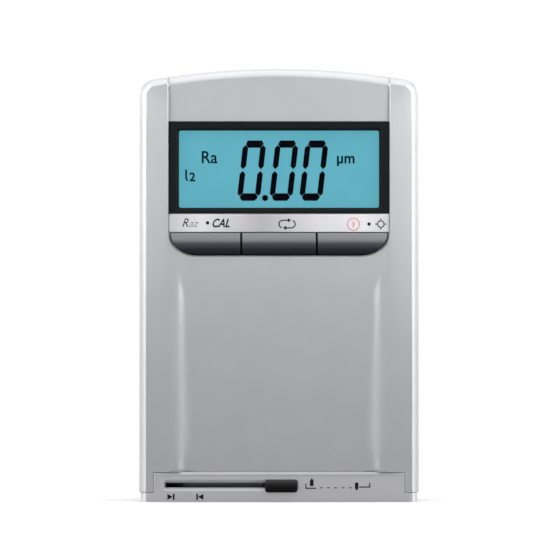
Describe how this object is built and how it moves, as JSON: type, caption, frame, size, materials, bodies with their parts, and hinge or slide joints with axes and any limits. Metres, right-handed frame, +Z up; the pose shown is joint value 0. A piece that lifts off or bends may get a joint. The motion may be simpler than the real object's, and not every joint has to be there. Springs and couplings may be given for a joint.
{
  "type": "surface roughness tester",
  "caption": "Pocket surface roughness tester standing on its base: silver case with display, keys, slider for the shutter and a stylus pickup on a screw-driven carriage.",
  "frame": {"origin": "middle of the overall box, on the base's rest face", "axes": "+Z up, +X to the right as seen from the front, the front with display and keys faces -Y"},
  "size_m": [0.0694, 0.024, 0.1074],
  "materials": {
    "silver_shell": "satin silver paint on moulded plastic",
    "pale_base": "pale silver moulded plastic",
    "black_plastic": "black moulded plastic",
    "clear_window": "clear window",
    "display_glass": "blue-green display glass",
    "backlight": "white diffuser",
    "legend_metal": "fine brushed plate",
    "key_grey": "dark grey satin",
    "board_green": "circuit board",
    "cell_wrap": "battery wrap",
    "steel": "bright steel",
    "frame_metal": "folded sheet",
    "brass": "turned brass",
    "dark_plastic": "dark moulded plastic",
    "arm_grey": "dark grey moulded plastic",
    "piezo": "sensing ceramic"
  },
  "bodies": {
    "housing": {"front_shell": "silver_shell", "rear_shell": "silver_shell", "base_frame": "pale_base", "lcd_bezel": "black_plastic", "lcd_window": "clear_window", "lcd_glass": "display_glass", "lcd_backlight": "backlight", "legend_plate": "legend_metal", "main_board": "board_green", "key_switches": "black_plastic", "board_chips": "black_plastic", "battery": "cell_wrap", "charge_socket": "black_plastic", "case_screws": "steel", "base_screws": "steel", "drive_frame": "frame_metal", "motor": "steel", "screw_bushes": "brass", "guide_rod": "steel"},
    "left_key": {"key_left": "key_grey"},
    "middle_key": {"key_middle": "key_grey"},
    "right_key": {"key_right": "key_grey"},
    "slider": {"slider_knob": "black_plastic", "shutter": "black_plastic"},
    "screw": {"lead_screw": "steel", "screw_gear": "brass"},
    "pinion": {"motor_pinion": "brass"},
    "trace_carriage": {"carriage": "dark_plastic", "drive_nut": "brass", "pivot_pin": "steel"},
    "pickup": {"pickup_arm": "arm_grey", "piezo_plate": "piezo", "skid": "steel", "stylus": "steel"}
  },
  "joints": [
    {"name": "left_key_press", "type": "slide", "parent": "housing", "child": "left_key", "axis": [0, 1, 0], "range_m": [0, 0.0006], "stiffness_N_per_m": 800},
    {"name": "middle_key_press", "type": "slide", "parent": "housing", "child": "middle_key", "axis": [0, 1, 0], "range_m": [0, 0.0006], "stiffness_N_per_m": 800},
    {"name": "right_key_press", "type": "slide", "parent": "housing", "child": "right_key", "axis": [0, 1, 0], "range_m": [0, 0.0006], "stiffness_N_per_m": 800},
    {"name": "shutter_slide", "type": "slide", "parent": "housing", "child": "slider", "axis": [1, 0, 0], "range_m": [-0.0249, 0]},
    {"name": "screw_turn", "type": "hinge", "parent": "housing", "child": "screw", "pos_m": [0, -0.002, 0.015], "axis": [1, 0, 0], "range_deg": [-2161, 2161]},
    {"name": "pinion_turn", "type": "hinge", "parent": "housing", "child": "pinion", "pos_m": [0.0132, 0.0037, 0.01867], "axis": [1, 0, 0], "range_deg": [-3242, 3242]},
    {"name": "carriage_trace", "type": "slide", "parent": "housing", "child": "trace_carriage", "axis": [1, 0, 0], "range_m": [-0.003, 0.003]},
    {"name": "pickup_lift", "type": "hinge", "parent": "trace_carriage", "child": "pickup", "pos_m": [0.002, -0.003, 0.006], "axis": [0, 1, 0], "range_deg": [0, 11.63]}
  ],
  "couplings": [
    {"joint": "screw_turn", "follows": "carriage_trace", "rad_per_m": -12566},
    {"joint": "pinion_turn", "follows": "carriage_trace", "rad_per_m": 18850},
    {"joint": "pickup_lift", "follows": "shutter_slide", "rad_per_m": -8.1196}
  ]
}
